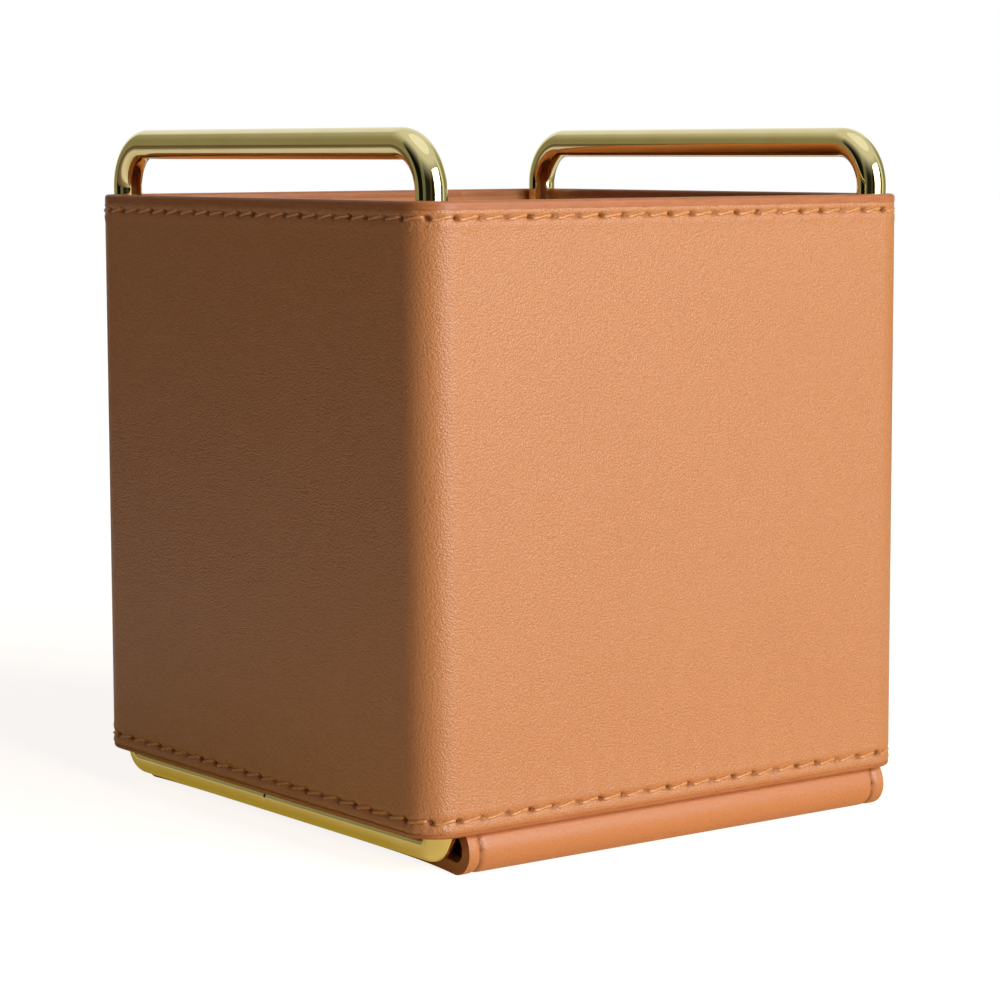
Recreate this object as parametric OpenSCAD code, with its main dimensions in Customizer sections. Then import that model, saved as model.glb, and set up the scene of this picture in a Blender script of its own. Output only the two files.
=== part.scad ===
/* [Band] */
// Width of the leather band, left to right
band_w = 95; // [80:1:130]
// Depth of the leather band, front to back
band_d = 95; // [80:1:130]
// Height of the leather band from hem to rim
band_h = 92.5; // [75:0.5:130]
// Radius of the four upright corners, on the outside
corner_r = 5.8; // [5:0.1:7]
// Thickness of the outer leather where it lies on the lining
leather_t = 1.4; // [1.3:0.05:1.8]
// Thickness of the lining
lining_t = 0.5; // [0.4:0.05:0.8]
// Height of the painted edge at the rim
rim_coat_h = 1.3; // [1:0.1:1.6]
// Height of the painted edge at the hem
hem_coat_h = 0.65; // [0.65:0.05:1.6]
// Radius of the painted edge's rounding
coat_round = 0.6; // [0.3:0.05:0.6]

/* [Closing seam] */
// How far the closing seam lies from the middle of the back
seam_x = 27; // [5:1:32]
// Width of the closing seam's groove
seam_w = 0.3; // [0.2:0.1:0.8]
// Depth of the closing seam's groove
seam_depth = 0.4; // [0.2:0.1:0.6]

/* [Wall boards] */
// Thickness of the stiffening boards inside the wall
board_t = 0.6; // [0.4:0.05:0.8]
// Distance from rim or hem to a board
board_margin = 5; // [4:0.5:15]
// Distance from the end of a corner's bend to a board
board_inset = 1; // [0.5:0.5:10]

/* [Stitching of the band] */
// Distance of a stitch line from rim or hem
stitch_margin = 2.5; // [2.3:0.1:3.2]
// Diameter of the band's thread
thread_d = 0.7; // [0.5:0.05:0.8]
// Stitches along each straight stretch
stitches_per_side = 19; // [9:1:25]
// Stitches round each corner
stitches_per_corner = 2; // [1:1:3]
// Length of a stitch as a share of its pitch
stitch_share = 0.74; // [0.5:0.01:0.8]
// Slant of a stitch, in degrees
stitch_slant = 5; // [0:1:8]
// Depth of the groove that the thread lies in
groove_depth = 0.35; // [0.2:0.05:0.5]

/* [Strap under the band] */
// Gap between the left foot bar and the strap that forms the underside
strap_gap = 0.1; // [0.1:0.1:8]
// Distance from the band's right face to the strap's right edge
strap_inset = 3.75; // [3:0.05:12]
// Thickness of the strap's outer layer
strap_outer_t = 0.8; // [0.75:0.01:0.9]
// Thickness of the strap's inner layer
strap_inner_t = 1.05; // [0.6:0.05:1.05]
// Radius of the roll from the underside to its fullest line
roll_r = 3.6; // [3:0.1:3.8]
// How far the roll's fullest line lies behind the band's face
roll_setback = 0.6; // [0.4:0.1:0.9]
// Drop of the shoulder where the strap is wider than its tabs
shoulder_drop = 0.8; // [0.8:0.1:2]
// Height to which the tabs are glued up inside the band
tab_h = 30; // [15:1:60]

/* [Stitching of the strap] */
// Distance of a stitch line from the strap's side edge
strap_margin = 2.3; // [1.5:0.1:3.5]
// Diameter of the strap's thread
strap_thread_d = 0.55; // [0.4:0.05:0.6]
// Pitch of the strap's stitches
strap_pitch = 4.4; // [3.5:0.1:8]

/* [Loops] */
// Diameter of the round rod
rod_d = 4.7; // [4.2:0.1:4.8]
// Gap between a post and the lining
rod_gap = 0.05; // [0.05:0.05:0.2]
// Height of the handle bar's middle line above the rim
handle_rise = 8.15; // [7.5:0.05:25]
// Depth of the foot bar's middle line below the hem
foot_drop = 2.2; // [2.2:0.1:2.6]
// How far each loop leans in, from its handle bar down to its foot bar
foot_inset = 1.2; // [0:0.1:2]
// Bend radius at the handle, on the rod's middle line
handle_bend_r = 7.1; // [4:0.1:7.4]
// Bend radius at the foot, on the rod's middle line
foot_bend_r = 3; // [2.9:0.1:3.6]
// How far the butt joint lies behind the middle of the foot
joint_y = 3.3; // [0:0.1:20]
// Width of the line at the butt joint
joint_w = 0.3; // [0.2:0.1:0.8]
// Depth of the line at the butt joint
joint_depth = 0.15; // [0.1:0.05:0.4]

/* [Floor] */
// Thickness of the floor board
floor_t = 1.5; // [1:0.1:4]
// Thickness of the lining on the floor
floor_lining_t = 0.8; // [0.5:0.1:2]
// Gap around the floor
floor_gap = 0.15; // [0.1:0.05:0.5]

/* [Hidden] */
$fn = 64;
// Points along each bend of the strap's section
bend_steps = 10;
// Overrun of every cut
cut = 0.5;
// Clearance of what is laid in or glued on
lay_gap = 0.05;

leather_colour = "#D8965F";
lining_colour = "#B97C50";
coat_colour = "#BE7F5F";
thread_colour = "#DDA45C";
board_colour = "#8C8478";
gold_colour = "#CDBB7A";

// Heights, from the strap's underside up; the foot bars lie just above the strap
strap_t = strap_outer_t + strap_inner_t;
rod_r = rod_d / 2;
foot_z = strap_t + 2 * lay_gap + rod_r;
hem_z = foot_z + foot_drop;
rim_z = hem_z + band_h;
handle_z = rim_z + handle_rise;
wall_t = leather_t + lining_t;
inner_w = band_w - 2 * wall_t;
inner_d = band_d - 2 * wall_t;

// The stitch groove is as high as a slanted stitch
groove_h = thread_d + 2 * lay_gap
    + band_w / stitches_per_side * stitch_share * sin(stitch_slant);

// The posts stand in the band's inner corners, which fit round them at the rim
inner_r = rod_r + rod_gap;
rod_x = inner_w / 2 - inner_r;
rod_y = inner_d / 2 - inner_r;
foot_x = rod_x - foot_inset;
lean = atan(foot_inset / (handle_z - foot_z));
loop_h = (handle_z - foot_z) / cos(lean);

// The strap's section: underside, roll, tuck round the hem's inner edge, tab
strap_left = rod_r + strap_gap - foot_x;
strap_right = band_w / 2 - strap_inset;
strap_w = strap_right - strap_left;
tab_right = min(strap_right, foot_x - rod_r - 2 * lay_gap);
tab_y = inner_d / 2 - lay_gap;
tuck_r = coat_round + lay_gap;
tuck_y = tab_y + tuck_r;
tuck_z = hem_z + coat_round;
roll_y = band_d / 2 - roll_setback;
tuck_back = tuck_y - roll_y;
tuck_up = tuck_z - roll_r;
roll_upper_r = (pow(tuck_back, 2) + pow(tuck_up, 2) - pow(tuck_r, 2)) / (2 * (tuck_r - tuck_back));
tuck_angle = atan2(tuck_up, roll_upper_r + tuck_back);
shoulder_z = hem_z - shoulder_drop;
strap_groove = strap_thread_d + 2 * lay_gap;

// The floor lies on the two foot bars, between the tabs
floor_z = foot_z + rod_r + lay_gap;
floor_w = inner_w - 2 * floor_gap;
floor_d = 2 * (tab_y - strap_t - floor_gap);
notch_x = foot_x - rod_r - floor_gap;
notch_y = rod_y - foot_bend_r - floor_gap;

// A rectangle with rounded corners, centred
module rounded(w, d, r) {
    square([w, d - 2 * r], center = true);
    square([w - 2 * r, d], center = true);
    for (x = [-1, 1], y = [-1, 1])
        translate([x * (w / 2 - r), y * (d / 2 - r)]) circle(r);
}

// A closed upright wall between two rounded outlines, each given by its inset and corner radius
module wall(inset_a, r_a, inset_b, r_b, z_a, z_b) {
    translate([0, 0, z_a]) linear_extrude(z_b - z_a) difference() {
        rounded(band_w - 2 * inset_a, band_d - 2 * inset_a, r_a);
        rounded(band_w - 2 * inset_b, band_d - 2 * inset_b, r_b);
    }
}

// Sweeps a section round a rounded rectangle; the section's x points outward from the outline
module swept(w, d, r, z) {
    for (i = [0:3]) {
        along = i % 2 == 0 ? w : d;
        across = i % 2 == 0 ? d : w;
        rotate([0, 0, 90 * i]) {
            translate([r - along / 2, -across / 2, z]) rotate([90, 0, 90])
                linear_extrude(along - 2 * r) mirror([1, 0]) children();
            translate([along / 2 - r, r - across / 2, z]) rotate([0, 0, -90])
                rotate_extrude(angle = 90) translate([r, 0]) children();
        }
    }
}

// What a rounded edge takes away from a sharp one whose corner lies at the origin
module edge_cutter() {
    difference() {
        translate([-coat_round, -coat_round]) square(coat_round + cut);
        translate([-coat_round, -coat_round]) circle(coat_round);
    }
}

// The closing seam, cut to a depth from the back
module seam_cut(depth) {
    translate([seam_x - seam_w / 2, band_d / 2 - depth, hem_z - cut])
        cube([seam_w, depth + cut, band_h + 2 * cut]);
}

// One wall board, and its pocket when it is grown
module wall_board(side, grow) {
    across = side % 2 == 0 ? band_d : band_w;
    along = (side % 2 == 0 ? band_w : band_d) - 2 * (corner_r + board_inset);
    tall = band_h - 2 * board_margin;
    rotate([0, 0, 90 * side])
        translate([-along / 2 - grow, leather_t - board_t - across / 2 - grow, hem_z + board_margin - grow])
            cube([along + 2 * grow, board_t + grow + (grow > 0 ? cut : 0), tall + 2 * grow]);
}

// A stitch along X
module stitch(len, d) {
    rotate([0, 90, 0]) cylinder(h = len, r = d / 2, center = true);
}

// A stitch bent round an arc in the XY plane, from one angle to another
module bent_stitch(r, from, to, d) {
    rotate([0, 0, from]) rotate_extrude(angle = to - from) translate([r, 0]) circle(d / 2);
}

// The groove that a line of stitches lies in, round the band
module stitch_groove(z) {
    swept(band_w, band_d, corner_r, z)
        translate([-groove_depth, -groove_h / 2]) square([groove_depth + cut, groove_h]);
}

// The stitches of one line round the band
module band_stitches(z) {
    proud = thread_d / 2 - groove_depth + lay_gap;
    for (i = [0:3]) {
        along = (i % 2 == 0 ? band_w : band_d) - 2 * corner_r;
        across = (i % 2 == 0 ? band_d : band_w) - 2 * corner_r;
        pitch = along / stitches_per_side;
        turn = 90 / stitches_per_corner;
        rotate([0, 0, 90 * i]) {
            for (k = [0:stitches_per_side - 1])
                translate([(k + 1 / 2) * pitch - along / 2, -across / 2 - corner_r - proud, z])
                    rotate([0, -stitch_slant, 0]) stitch(pitch * stitch_share, thread_d);
            for (k = [0:stitches_per_corner - 1])
                translate([along / 2, -across / 2, z])
                    bent_stitch(corner_r + proud, -90 + turn * (k + (1 - stitch_share) / 2),
                        -90 + turn * (k + (1 + stitch_share) / 2), thread_d);
        }
    }
}

// Points of an arc in the YZ plane, without its first one
function arc_points(y, z, r, from, to) =
    [for (i = [1:bend_steps]) let (a = from + (to - from) * i / bend_steps) [y + r * cos(a), z + r * sin(a)]];

// The back half of the strap's section line, at a depth below its outer face
function strap_line(depth) = concat(
    [[roll_y - roll_r, depth]],
    arc_points(roll_y - roll_r, roll_r, roll_r - depth, -90, 0),
    arc_points(roll_y - roll_upper_r, roll_r, roll_upper_r - depth, 0, tuck_angle),
    arc_points(tuck_y, tuck_z, tuck_r + depth, 180 + tuck_angle, 180),
    [[tab_y - depth, hem_z + tab_h]]
);

// The whole line, from the front tab round to the back tab
function whole_line(depth) = let (half = strap_line(depth)) concat(
    [for (i = [len(half) - 1:-1:0]) [-half[i][0], half[i][1]]], half);

// The same points, last one first
function reversed(line) = [for (i = [len(line) - 1:-1:0]) line[i]];

// A layer of the strap between two depths, from one side edge to the other
module strap_layer(depth_a, depth_b, from_x, to_x) {
    translate([from_x, 0, 0]) rotate([90, 0, 90]) linear_extrude(to_x - from_x)
        polygon(concat(whole_line(depth_a), reversed(whole_line(depth_b))));
}

// The stitches of one line along the strap, with the angle up the roll where the line ends
module strap_stitches(x, top_angle) {
    depth = strap_thread_d / 2 + lay_gap;
    run = 2 * (roll_y - roll_r);
    count = round(run / strap_pitch);
    pitch = run / count;
    rest = 90 * (1 - stitch_share) / 2;
    for (k = [0:count - 1])
        translate([x, (k + 1 / 2) * pitch - run / 2, depth])
            rotate([0, 0, 90]) stitch(pitch * stitch_share, strap_thread_d);
    for (s = [0, 1]) mirror([0, s, 0]) translate([x, 0, 0]) rotate([90, 0, 90]) {
        translate([roll_y - roll_r, roll_r])
            bent_stitch(roll_r - depth, rest - 90, -rest, strap_thread_d);
        translate([roll_y - roll_upper_r, roll_r])
            bent_stitch(roll_upper_r - depth, rest / 2, top_angle, strap_thread_d);
    }
}

// Angle up the roll at a height
function roll_angle(z) = asin((z - roll_r) / roll_upper_r);

// The floor's outline, notched round the posts
module floor_outline() {
    difference() {
        square([floor_w, floor_d], center = true);
        for (x = [0, 1], y = [0, 1])
            mirror([x, 0]) mirror([0, y]) translate([notch_x, notch_y]) square([inner_w / 2, inner_d / 2]);
    }
}

// A quarter bend of the rod in the YZ plane, from one angle on
module rod_bend(y, z, bend_r, from) {
    translate([0, y, z]) rotate([90, 0, 90]) rotate([0, 0, from])
        rotate_extrude(angle = 90) translate([bend_r, 0]) circle(rod_r);
}

// One closed loop hanging from its handle bar: two posts, the two bars, four bends and the butt joint's line
module hanging_loop() {
    top_r = handle_bend_r;
    low_r = foot_bend_r;
    difference() {
        union() {
            for (s = [-1, 1])
                translate([0, s * rod_y, low_r - loop_h]) cylinder(h = loop_h - top_r - low_r, r = rod_r);
            translate([0, top_r - rod_y, 0]) rotate([-90, 0, 0])
                cylinder(h = 2 * (rod_y - top_r), r = rod_r);
            translate([0, low_r - rod_y, -loop_h]) rotate([-90, 0, 0])
                cylinder(h = 2 * (rod_y - low_r), r = rod_r);
            rod_bend(rod_y - top_r, -top_r, top_r, 0);
            rod_bend(top_r - rod_y, -top_r, top_r, 90);
            rod_bend(low_r - rod_y, low_r - loop_h, low_r, 180);
            rod_bend(rod_y - low_r, low_r - loop_h, low_r, 270);
        }
        translate([0, joint_y - joint_w / 2, -loop_h]) rotate([-90, 0, 0]) difference() {
            cylinder(h = joint_w, r = rod_r + cut);
            translate([0, 0, -cut]) cylinder(h = joint_w + 2 * cut, r = rod_r - joint_depth);
        }
    }
}

// A loop in its place, leaning in towards its foot; side is -1 for left and 1 for right
module loop(side) {
    translate([side * rod_x, 0, handle_z]) rotate([0, side * lean, 0]) hanging_loop();
}

module band_outer_leather() {
    color(leather_colour) difference() {
        wall(0, corner_r, leather_t, inner_r + lining_t, hem_z + hem_coat_h, rim_z - rim_coat_h);
        stitch_groove(rim_z - stitch_margin);
        stitch_groove(hem_z + stitch_margin);
        for (side = [0:3]) wall_board(side, lay_gap);
        seam_cut(seam_depth);
    }
}

module band_lining() {
    color(lining_colour)
        wall(leather_t, inner_r + lining_t, wall_t, inner_r, hem_z + hem_coat_h, rim_z - rim_coat_h);
}

module front_board() { color(board_colour) wall_board(0, 0); }
module right_board() { color(board_colour) wall_board(1, 0); }
module back_board() { color(board_colour) wall_board(2, 0); }
module left_board() { color(board_colour) wall_board(3, 0); }

module rim_edge_coat() {
    color(coat_colour) difference() {
        wall(0, corner_r, wall_t, inner_r, rim_z - rim_coat_h, rim_z);
        swept(band_w, band_d, corner_r, rim_z) edge_cutter();
        swept(inner_w, inner_d, inner_r, rim_z) mirror([1, 0]) edge_cutter();
        seam_cut(wall_t + cut);
    }
}

module hem_edge_coat() {
    color(coat_colour) difference() {
        wall(0, corner_r, wall_t, inner_r, hem_z, hem_z + hem_coat_h);
        swept(band_w, band_d, corner_r, hem_z) mirror([0, 1]) edge_cutter();
        swept(inner_w, inner_d, inner_r, hem_z) rotate(180) edge_cutter();
        seam_cut(seam_depth);
    }
}

module rim_stitching() { color(thread_colour) band_stitches(rim_z - stitch_margin); }
module hem_stitching() { color(thread_colour) band_stitches(hem_z + stitch_margin); }

module strap_outer_leather() {
    color(leather_colour) difference() {
        strap_layer(0, strap_outer_t, strap_left, strap_right);
        if (strap_right > tab_right)
            translate([tab_right, -band_d / 2, shoulder_z])
                cube([strap_right - tab_right + cut, band_d, tab_h + shoulder_drop + cut]);
        for (x = [strap_left + strap_margin, strap_right - strap_margin])
            intersection() {
                strap_layer(-cut, strap_groove, x - strap_groove / 2, x + strap_groove / 2);
                translate([strap_left, -band_d / 2, -cut]) cube([strap_w, band_d, hem_z + cut]);
            }
    }
}

module strap_inner_leather() {
    color(lining_colour) strap_layer(strap_outer_t, strap_t, strap_left, tab_right);
}

module strap_stitching_left() {
    color(thread_colour) strap_stitches(strap_left + strap_margin, roll_angle(hem_z - shoulder_drop / 2));
}

module strap_stitching_right() {
    color(thread_colour) strap_stitches(strap_right - strap_margin, roll_angle(shoulder_z - strap_thread_d));
}

module floor_board() {
    color(board_colour) translate([0, 0, floor_z]) linear_extrude(floor_t) floor_outline();
}

module floor_lining() {
    color(lining_colour) translate([0, 0, floor_z + floor_t]) linear_extrude(floor_lining_t) floor_outline();
}

module loop_left() { color(gold_colour) loop(-1); }
module loop_right() { color(gold_colour) loop(1); }

band_outer_leather();
band_lining();
front_board();
back_board();
left_board();
right_board();
rim_edge_coat();
hem_edge_coat();
rim_stitching();
hem_stitching();
strap_outer_leather();
strap_inner_leather();
strap_stitching_left();
strap_stitching_right();
floor_board();
floor_lining();
loop_left();
loop_right();
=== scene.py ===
# Pen holder: a stitched leather band that stands on a leather strap, with two gilt loops
import math
import random

import bpy
from mathutils import Matrix, Vector


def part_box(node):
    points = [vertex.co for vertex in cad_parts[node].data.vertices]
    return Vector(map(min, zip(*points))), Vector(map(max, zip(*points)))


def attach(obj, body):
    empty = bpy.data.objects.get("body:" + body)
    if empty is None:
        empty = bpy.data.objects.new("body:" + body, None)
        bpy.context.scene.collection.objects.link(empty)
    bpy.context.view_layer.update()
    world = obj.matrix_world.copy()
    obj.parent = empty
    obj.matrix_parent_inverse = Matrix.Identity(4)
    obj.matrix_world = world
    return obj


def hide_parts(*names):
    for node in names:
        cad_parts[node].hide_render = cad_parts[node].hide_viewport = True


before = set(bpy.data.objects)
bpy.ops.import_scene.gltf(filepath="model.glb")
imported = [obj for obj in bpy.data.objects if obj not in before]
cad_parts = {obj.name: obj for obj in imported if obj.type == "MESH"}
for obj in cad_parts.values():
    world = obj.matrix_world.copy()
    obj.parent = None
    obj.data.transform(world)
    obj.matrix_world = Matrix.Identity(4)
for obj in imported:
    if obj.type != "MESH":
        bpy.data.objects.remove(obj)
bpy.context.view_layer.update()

mm = 0.001
mergeGap = 0.002 * mm      # points closer than this become one
sameHeight = 0.0001 * mm   # heights closer than this count as one
print("frame loaded:", len(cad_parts), "nodes")


# Small helpers

def clearSelection():
    if bpy.context.object and bpy.context.object.mode != "OBJECT":
        bpy.ops.object.mode_set(mode="OBJECT")
    bpy.ops.object.select_all(action="DESELECT")


def makeActive(*pieces):
    clearSelection()
    for piece in pieces:
        piece.select_set(True)
    bpy.context.view_layer.objects.active = pieces[0]


def pick(piece, kind, test):
    # Leaves edit mode on, with the parts selected that pass the test
    bpy.ops.object.mode_set(mode="EDIT")
    bpy.ops.mesh.select_mode(type=kind)
    bpy.ops.mesh.select_all(action="DESELECT")
    bpy.ops.object.mode_set(mode="OBJECT")
    mesh = piece.data
    parts = {"VERT": mesh.vertices, "EDGE": mesh.edges, "FACE": mesh.polygons}[kind]
    for part in parts:
        part.select = test(part)
    bpy.ops.object.mode_set(mode="EDIT")


def applyModifier(piece, kind, **settings):
    makeActive(piece)
    modifier = piece.modifiers.new(kind.title(), kind)
    for name, value in settings.items():
        setattr(modifier, name, value)
    bpy.ops.object.modifier_apply(modifier=modifier.name)


def applyPlace():
    bpy.ops.object.transform_apply(location=True, rotation=True, scale=True)


def pickEdgesAt(piece, z):
    points = piece.data.vertices
    pick(piece, "EDGE", lambda e: all(abs(points[i].co.z - z) < sameHeight for i in e.vertices))


def closeAndSmooth(piece, angle):
    makeActive(piece)
    bpy.ops.object.mode_set(mode="EDIT")
    bpy.ops.mesh.select_all(action="SELECT")
    bpy.ops.mesh.remove_doubles(threshold=mergeGap)
    bpy.ops.mesh.normals_make_consistent(inside=False)
    bpy.ops.object.mode_set(mode="OBJECT")
    bpy.ops.object.shade_smooth_by_angle(angle=math.radians(angle))


def joinCopies(places):
    # Puts a copy of each pattern in its place, joins the copies and removes the patterns
    copies = []
    for pattern, place in places:
        copy = pattern.copy()
        copy.data = pattern.data.copy()
        bpy.context.collection.objects.link(copy)
        copy.matrix_world = place
        copies.append(copy)
    for pattern in {pattern for pattern, place in places}:
        bpy.data.objects.remove(pattern)
    makeActive(*copies)
    applyPlace()
    bpy.ops.object.join()
    return bpy.context.object


def paintStitchShade(piece, shades):
    # How much painted shade each point gets near an awl hole or a stitch groove, 0 to 1, which the leather's
    # finish reads
    piece.data.attributes.new("nearHole", "FLOAT", "POINT")
    piece.data.attributes["nearHole"].data.foreach_set("value", shades)


def finishPiece(piece, name, slotName, finish, *nodes):
    # Gives the piece its name and finish, attaches it to the root body and hides the CAD nodes it stands for
    makeActive(piece)
    applyPlace()
    piece.name = name
    piece.data.name = name
    piece.data.materials.clear()
    piece.data.materials.append(finish)
    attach(piece, "root")
    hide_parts(*nodes)
    print("made", name, len(piece.data.polygons), "faces")


def held(value, limit):
    return max(-limit, min(limit, value))


def bell(distance, width):
    return math.exp(-(distance / width) ** 2)


# Material helpers

def linear(hexColour):
    channels = [int(hexColour[i:i + 2], 16) / 255 for i in (1, 3, 5)]
    return [c / 12.92 if c <= 0.04045 else ((c + 0.055) / 1.055) ** 2.4 for c in channels] + [1]


def fillRamp(ends, stops):
    while len(ends) < len(stops):
        ends.new(1.0)
    for end, (position, hexColour) in zip(ends, stops):
        end.position = position
        end.color = linear(hexColour)


def addNode(tree, kind, settings=None, **inputs):
    # A node with its settings and its inputs, which are values or other nodes' outputs;
    # an input is called by its name, or by i and its number
    node = tree.nodes.new(kind)
    for name, value in (settings or {}).items():
        if name == "stops":
            fillRamp(node.color_ramp.elements, value)
        else:
            setattr(node, name, value)
    for name, value in inputs.items():
        key = int(name[1:]) if name[0] == "i" and name[1:].isdigit() else name.replace("_", " ")
        if isinstance(value, bpy.types.NodeSocket):
            tree.links.new(value, node.inputs[key])
        else:
            node.inputs[key].default_value = value
    return node


def startMaterial(name):
    material = bpy.data.materials.new(name)
    material.use_nodes = True
    tree = material.node_tree
    shader = tree.nodes["Principled BSDF"]
    place = addNode(tree, "ShaderNodeTexCoord").outputs["Object"]
    return material, tree, shader, place


def perMetre(size):
    return 1 / size


def finishSurface(tree, shader, colours, shade, height, depth):
    # Colours the surface between two hex values by one pattern, and raises it by another
    colour = addNode(tree, "ShaderNodeValToRGB", {"stops": colours}, Fac=shade)
    bump = addNode(tree, "ShaderNodeBump", Height=height, Strength=1.0, Distance=depth)
    tree.links.new(colour.outputs["Color"], shader.inputs["Base Color"])
    tree.links.new(bump.outputs[0], shader.inputs["Normal"])


# Corrected grain cowhide, embossed with a fine pebble and given a satin top coat
def makeCowhide(name, hexLight, hexDark, grainDepth):
    material, tree, shader, place = startMaterial(name)
    pebble = 0.31 * mm        # grain width, read from the photograph
    crease = 0.65 * mm        # spacing of the slanting creases between groups of pebbles
    mottle = 22 * mm          # patches where the dye took a little deeper
    creaseShare = 0.32        # height of the creases beside that of the pebbles
    mottleShare = -0.3        # how much a patch shifts the colour
    cells = addNode(tree, "ShaderNodeTexVoronoi", {"feature": "SMOOTH_F1"},
                    Vector=place, Scale=perMetre(pebble), Smoothness=0.5)
    slant = addNode(tree, "ShaderNodeMapping", Vector=place, Rotation=(0.6, 0.6, 0), Scale=(1, 1, 0.45))
    wander = addNode(tree, "ShaderNodeTexNoise", Vector=slant.outputs[0], Scale=perMetre(crease), Detail=3.0,
                     Roughness=0.6, Distortion=0.6)
    patches = addNode(tree, "ShaderNodeTexNoise", Vector=place, Scale=perMetre(mottle), Detail=2.0)
    grain = addNode(tree, "ShaderNodeMath", {"operation": "MULTIPLY_ADD"},
                    i0=wander.outputs["Fac"], i1=creaseShare, i2=cells.outputs["Distance"])
    tone = addNode(tree, "ShaderNodeMath", {"operation": "MULTIPLY_ADD"},
                   i0=patches.outputs["Fac"], i1=mottleShare, i2=grain.outputs[0])
    colour = addNode(tree, "ShaderNodeValToRGB", {"stops": ((0.2, hexLight), (0.8, hexDark))},
                     Fac=tone.outputs[0])
    # Painted shade round each awl hole and along the strap's stitch grooves: the colour is darkened and the
    # gloss damped there
    paintedShadeMask = addNode(tree, "ShaderNodeAttribute", {"attribute_name": "nearHole"})
    paintedShadeColour = addNode(tree, "ShaderNodeMix", {"data_type": "RGBA"}, i0=paintedShadeMask.outputs["Fac"],
                      i6=colour.outputs["Color"], i7=linear("#6E3A18"))
    gloss = addNode(tree, "ShaderNodeMapRange", Value=paintedShadeMask.outputs["Fac"], To_Min=0.6, To_Max=0.1)
    tree.links.new(paintedShadeColour.outputs[2], shader.inputs["Base Color"])
    tree.links.new(gloss.outputs[0], shader.inputs["Specular IOR Level"])
    sheen = addNode(tree, "ShaderNodeMapRange", Value=grain.outputs[0], From_Min=0.25, From_Max=0.8,
                    To_Min=0.3, To_Max=0.42)
    tree.links.new(sheen.outputs[0], shader.inputs["Roughness"])
    bump = addNode(tree, "ShaderNodeBump", {"invert": True}, Height=grain.outputs[0], Strength=1.0,
                   Distance=grainDepth)
    tree.links.new(bump.outputs[0], shader.inputs["Normal"])
    shader.inputs["IOR"].default_value = 1.55
    return material


# Smooth lining leather, finished with a thin wax
def makeLiningLeather():
    material, tree, shader, place = startMaterial("WaxedLiningLeather")
    mottle = 9 * mm
    pore = 0.5 * mm
    poreDepth = 0.02 * mm
    patches = addNode(tree, "ShaderNodeTexNoise", Vector=place, Scale=perMetre(mottle), Detail=4.0)
    pores = addNode(tree, "ShaderNodeTexNoise", Vector=place, Scale=perMetre(pore), Detail=3.0)
    finishSurface(tree, shader, ((0.3, "#D08045"), (0.7, "#DC8F50")), patches.outputs["Fac"],
                  pores.outputs["Fac"], poreDepth)
    shader.inputs["Roughness"].default_value = 0.5
    return material


# Acrylic edge paint, brushed on in coats and burnished
def makeEdgePaint(name, hexDeep, hexBright):
    material, tree, shader, place = startMaterial(name)
    wave = 2.6 * mm           # length of the low waves that the brush leaves along the edge
    waveDepth = 0.06 * mm
    stretch = addNode(tree, "ShaderNodeMapping", Vector=place, Scale=(1, 1, 3.5))
    coats = addNode(tree, "ShaderNodeTexNoise", Vector=stretch.outputs[0], Scale=perMetre(wave), Detail=4.0)
    finishSurface(tree, shader, ((0.32, hexDeep), (0.66, hexBright)), coats.outputs["Fac"],
                  coats.outputs["Fac"], waveDepth)
    shader.inputs["Roughness"].default_value = 0.38
    return material


# Bonded polyester thread, waxed; its plies catch the light as a fine rope
def makeThread(name, hexDeep, hexBright):
    material, tree, shader, place = startMaterial(name)
    fibre = 0.25 * mm         # real fibres are finer, and would not show
    fibreDepth = 0.03 * mm
    fibres = addNode(tree, "ShaderNodeTexNoise", Vector=place, Scale=perMetre(fibre), Detail=3.0)
    finishSurface(tree, shader, ((0.3, hexDeep), (0.7, hexBright)), fibres.outputs["Fac"],
                  fibres.outputs["Fac"], fibreDepth)
    shader.inputs["Roughness"].default_value = 0.32
    shader.inputs["Specular IOR Level"].default_value = 0.8
    return material


# Steel rod, polished and plated pale gold
def makeGiltSteel():
    material, tree, shader, place = startMaterial("PolishedGiltSteel")
    cloud = 6 * mm            # patches where the polish is a little duller
    haze = addNode(tree, "ShaderNodeTexNoise", Vector=place, Scale=perMetre(cloud), Detail=3.0)
    rough = addNode(tree, "ShaderNodeMapRange", Value=haze.outputs["Fac"], To_Min=0.03, To_Max=0.06)
    colour = addNode(tree, "ShaderNodeValToRGB", {"stops": ((0.3, "#E9DAA2"), (0.7, "#EEE1AE"))},
                     Fac=haze.outputs["Fac"])
    tree.links.new(colour.outputs["Color"], shader.inputs["Base Color"])
    tree.links.new(rough.outputs[0], shader.inputs["Roughness"])
    shader.inputs["Metallic"].default_value = 1.0
    return material


# Grey book board, pressed from waste paper
def makeGreyBoard():
    material, tree, shader, place = startMaterial("PressedGreyBoard")
    clump = 0.7 * mm          # clumps of pulp
    clumpDepth = 0.05 * mm
    pulp = addNode(tree, "ShaderNodeTexNoise", Vector=place, Scale=perMetre(clump), Detail=5.0)
    finishSurface(tree, shader, ((0.35, "#7C756A"), (0.65, "#A19A8D")), pulp.outputs["Fac"],
                  pulp.outputs["Fac"], clumpDepth)
    shader.inputs["Roughness"].default_value = 0.9
    return material


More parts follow.
